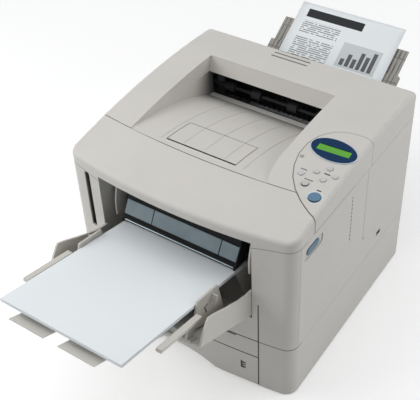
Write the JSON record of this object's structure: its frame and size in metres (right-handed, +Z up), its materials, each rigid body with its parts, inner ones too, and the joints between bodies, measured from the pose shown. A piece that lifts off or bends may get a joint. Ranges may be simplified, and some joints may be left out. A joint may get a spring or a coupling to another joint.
{
  "type": "laser printer",
  "caption": "Monochrome laser printer with a bowed front, an open loaded front tray with extension and guides, an open rear tray, a paper cassette and a hinged front cover.",
  "frame": {"origin": "middle of the whole printer's footprint with both trays open, on the surface it stands on", "axes": "+X to the printer's right, +Y towards its rear, +Z up"},
  "size_m": [0.408, 0.8356, 0.3597],
  "materials": {
    "body_plastic": "fine matte grain",
    "key_plastic": "satin",
    "blue_plastic": "satin",
    "navy_plastic": "satin",
    "display_green": "smooth",
    "black_plastic": "satin",
    "dark_tray_plastic": "matte",
    "gear_plastic": "satin",
    "guard_paint": "satin",
    "zinc_steel": "zinc plated",
    "bright_rod": "polished",
    "roller_rubber": "matte",
    "roller_coating": "satin",
    "drum_coating": "gloss",
    "mirror_metal": "polished",
    "board_green": "solder mask",
    "paper_white": "matte"
  },
  "bodies": {
    "printer": {"base_frame": "body_plastic", "rubber_feet": "roller_rubber", "left_side_cover": "body_plastic", "right_side_cover": "body_plastic", "rear_top_cover": "body_plastic", "rear_panel": "body_plastic", "frame_plates": "zinc_steel", "chute_plates": "black_plastic", "control_panel": "body_plastic", "display_surround": "navy_plastic", "display_window": "display_green", "circuit_boards": "board_green", "power_supply": "board_green", "chassis_screws": "zinc_steel", "laser_unit": "black_plastic", "drum_unit_frame": "black_plastic", "toner_cartridge": "black_plastic", "fuser_frame": "black_plastic", "main_motor": "zinc_steel", "fan_frame": "black_plastic", "mains_inlet": "black_plastic", "data_sockets": "zinc_steel", "printed_sheet": "paper_white"},
    "front_cover": {"front_cover": "body_plastic", "feed_housing": "black_plastic", "guard_plates": "guard_paint", "mouth_rod": "bright_rod"},
    "front_tray": {"front_tray": "body_plastic", "paper_stack": "paper_white"},
    "tray_extension": {"tray_extension": "body_plastic"},
    "tray_end_stops": {"tray_end_stops": "body_plastic"},
    "right_guide": {"right_paper_guide": "body_plastic"},
    "left_guide": {"left_paper_guide": "body_plastic"},
    "rear_tray": {"rear_tray": "dark_tray_plastic"},
    "rear_extension": {"rear_tray_extension": "dark_tray_plastic"},
    "output_flap": {"output_flap": "body_plastic"},
    "cassette": {"paper_cassette": "body_plastic"},
    "lift_plate": {"cassette_lift_plate": "zinc_steel"},
    "release_button": {"release_button": "blue_plastic"},
    "power_switch": {"power_switch": "black_plastic"},
    "fan_rotor": {"fan_rotor": "black_plastic"},
    "polygon_mirror": {"polygon_mirror": "mirror_metal"},
    "heat_roller": {"heat_roller": "roller_coating"},
    "pressure_roller": {"pressure_roller": "roller_rubber"},
    "photosensitive_drum": {"photosensitive_drum": "drum_coating"},
    "transfer_roller": {"transfer_roller": "roller_rubber"},
    "drum_gear": {"drum_gear": "gear_plastic"},
    "idler_gear": {"idler_gear": "gear_plastic"},
    "motor_pinion": {"motor_pinion": "gear_plastic"},
    "registration_roller": {"registration_roller": "roller_rubber"},
    "exit_rollers": {"exit_rollers": "roller_rubber"},
    "cassette_pickup_roller": {"cassette_pickup_roller": "roller_rubber"},
    "tray_pickup_roller": {"tray_pickup_roller": "roller_rubber"},
    "go_button": {"go_button": "blue_plastic"},
    "cancel_button": {"cancel_button": "key_plastic"},
    "reprint_button": {"reprint_button": "key_plastic"},
    "up_key": {"up_key": "key_plastic"},
    "left_key": {"left_key": "key_plastic"},
    "right_key": {"right_key": "key_plastic"},
    "down_key": {"down_key": "key_plastic"}
  },
  "joints": [
    {"name": "front_cover_hinge", "type": "hinge", "parent": "printer", "child": "front_cover", "pos_m": [0, -0.15552, 0.112], "axis": [1, 0, 0], "range_deg": [0, 75]},
    {"name": "front_tray_hinge", "type": "hinge", "parent": "front_cover", "child": "front_tray", "pos_m": [0, -0.15072, 0.166], "axis": [-1, 0, 0], "range_deg": [0, 66], "deforming": ["paper_stack"]},
    {"name": "tray_extension_slide", "type": "slide", "parent": "front_tray", "child": "tray_extension", "axis": [0, 0.9135, -0.4067], "range_m": [0, 0.1201]},
    {"name": "tray_end_stops_slide", "type": "slide", "parent": "tray_extension", "child": "tray_end_stops", "axis": [0, 0.9135, -0.4067], "range_m": [0, 0.0361]},
    {"name": "right_guide_slide", "type": "slide", "parent": "front_tray", "child": "right_guide", "axis": [1, 0, 0], "range_m": [0, 0.003]},
    {"name": "left_guide_slide", "type": "slide", "parent": "front_tray", "child": "left_guide", "axis": [-1, 0, 0], "range_m": [0, 0.003]},
    {"name": "rear_tray_hinge", "type": "hinge", "parent": "printer", "child": "rear_tray", "pos_m": [0, 0.25228, 0.2445], "axis": [1, 0, 0], "range_deg": [0, 57.5], "deforming": ["printed_sheet"]},
    {"name": "rear_extension_slide", "type": "slide", "parent": "rear_tray", "child": "rear_extension", "axis": [0, -0.8434, -0.5373], "range_m": [0, 0.052]},
    {"name": "output_flap_hinge", "type": "hinge", "parent": "printer", "child": "output_flap", "pos_m": [0, -0.05122, 0.34123], "axis": [1, 0, 0], "range_deg": [0, 120]},
    {"name": "cassette_slide", "type": "slide", "parent": "printer", "child": "cassette", "axis": [0, -1, 0], "range_m": [0, 0.3]},
    {"name": "lift_plate_hinge", "type": "hinge", "parent": "cassette", "child": "lift_plate", "pos_m": [0, 0.11728, 0.014], "axis": [1, 0, 0], "range_deg": [0, 18], "stiffness_Nm_per_rad": 1.2, "springref_deg": -68.75},
    {"name": "release_button_slide", "type": "slide", "parent": "printer", "child": "release_button", "axis": [-1, 0, 0], "range_m": [0, 0.002], "stiffness_N_per_m": 500, "springref_m": -0.002},
    {"name": "power_switch_rocker", "type": "hinge", "parent": "printer", "child": "power_switch", "pos_m": [0.1975, 0.13978, 0.1315], "axis": [0, 0, 1], "range_deg": [0, 16]},
    {"name": "fan_spin", "type": "hinge", "parent": "printer", "child": "fan_rotor", "pos_m": [-0.196, 0.19028, 0.205], "axis": [1, 0, 0], "continuous": true},
    {"name": "polygon_spin", "type": "hinge", "parent": "printer", "child": "polygon_mirror", "pos_m": [0, 0.08928, 0.276], "axis": [0, 0, 1], "continuous": true},
    {"name": "heat_roller_spin", "type": "hinge", "parent": "printer", "child": "heat_roller", "pos_m": [0, 0.16731, 0.23571], "axis": [1, 0, 0], "continuous": true},
    {"name": "pressure_roller_spin", "type": "hinge", "parent": "printer", "child": "pressure_roller", "pos_m": [0, 0.17495, 0.21044], "axis": [1, 0, 0], "continuous": true},
    {"name": "drum_spin", "type": "hinge", "parent": "printer", "child": "photosensitive_drum", "pos_m": [0, 0.03328, 0.214], "axis": [1, 0, 0], "continuous": true},
    {"name": "transfer_roller_spin", "type": "hinge", "parent": "printer", "child": "transfer_roller", "pos_m": [0, 0.03328, 0.1914], "axis": [1, 0, 0], "continuous": true},
    {"name": "drum_gear_spin", "type": "hinge", "parent": "printer", "child": "drum_gear", "pos_m": [0.158, 0.03328, 0.214], "axis": [1, 0, 0], "continuous": true},
    {"name": "idler_gear_spin", "type": "hinge", "parent": "printer", "child": "idler_gear", "pos_m": [0.158, 0.06608, 0.17627], "axis": [1, 0, 0], "continuous": true},
    {"name": "motor_pinion_spin", "type": "hinge", "parent": "printer", "child": "motor_pinion", "pos_m": [0.158, 0.07336, 0.14203], "axis": [1, 0, 0], "continuous": true},
    {"name": "registration_roller_spin", "type": "hinge", "parent": "printer", "child": "registration_roller", "pos_m": [0, -0.06872, 0.20102], "axis": [1, 0, 0], "continuous": true},
    {"name": "exit_rollers_spin", "type": "hinge", "parent": "printer", "child": "exit_rollers", "pos_m": [0, 0.17528, 0.298], "axis": [1, 0, 0], "continuous": true},
    {"name": "cassette_pickup_spin", "type": "hinge", "parent": "printer", "child": "cassette_pickup_roller", "pos_m": [0, -0.06872, 0.105], "axis": [1, 0, 0], "continuous": true},
    {"name": "tray_pickup_spin", "type": "hinge", "parent": "front_cover", "child": "tray_pickup_roller", "pos_m": [0, -0.10872, 0.23672], "axis": [1, 0, 0], "continuous": true},
    {"name": "go_button_press", "type": "slide", "parent": "printer", "child": "go_button", "axis": [0, 0, -1], "range_m": [0, 0.001], "stiffness_N_per_m": 600, "springref_m": -0.001},
    {"name": "cancel_button_press", "type": "slide", "parent": "printer", "child": "cancel_button", "axis": [0, 0, -1], "range_m": [0, 0.001], "stiffness_N_per_m": 600, "springref_m": -0.001},
    {"name": "reprint_button_press", "type": "slide", "parent": "printer", "child": "reprint_button", "axis": [0, 0, -1], "range_m": [0, 0.001], "stiffness_N_per_m": 600, "springref_m": -0.001},
    {"name": "up_key_press", "type": "slide", "parent": "printer", "child": "up_key", "axis": [0, 0, -1], "range_m": [0, 0.001], "stiffness_N_per_m": 600, "springref_m": -0.001},
    {"name": "left_key_press", "type": "slide", "parent": "printer", "child": "left_key", "axis": [0, 0, -1], "range_m": [0, 0.001], "stiffness_N_per_m": 600, "springref_m": -0.001},
    {"name": "right_key_press", "type": "slide", "parent": "printer", "child": "right_key", "axis": [0, 0, -1], "range_m": [0, 0.001], "stiffness_N_per_m": 600, "springref_m": -0.001},
    {"name": "down_key_press", "type": "slide", "parent": "printer", "child": "down_key", "axis": [0, 0, -1], "range_m": [0, 0.001], "stiffness_N_per_m": 600, "springref_m": -0.001}
  ],
  "couplings": [
    {"joint": "tray_extension_slide", "follows": "front_tray_hinge", "m_per_rad": 0.10417},
    {"joint": "tray_end_stops_slide", "follows": "front_tray_hinge", "m_per_rad": 0.031252},
    {"joint": "left_guide_slide", "follows": "right_guide_slide", "ratio": 1},
    {"joint": "pressure_roller_spin", "follows": "heat_roller_spin", "ratio": -1.0833},
    {"joint": "transfer_roller_spin", "follows": "drum_spin", "ratio": -2.1429},
    {"joint": "drum_gear_spin", "follows": "drum_spin", "ratio": 1},
    {"joint": "idler_gear_spin", "follows": "drum_spin", "ratio": -0.92308},
    {"joint": "motor_pinion_spin", "follows": "drum_spin", "ratio": 2.6667}
  ]
}
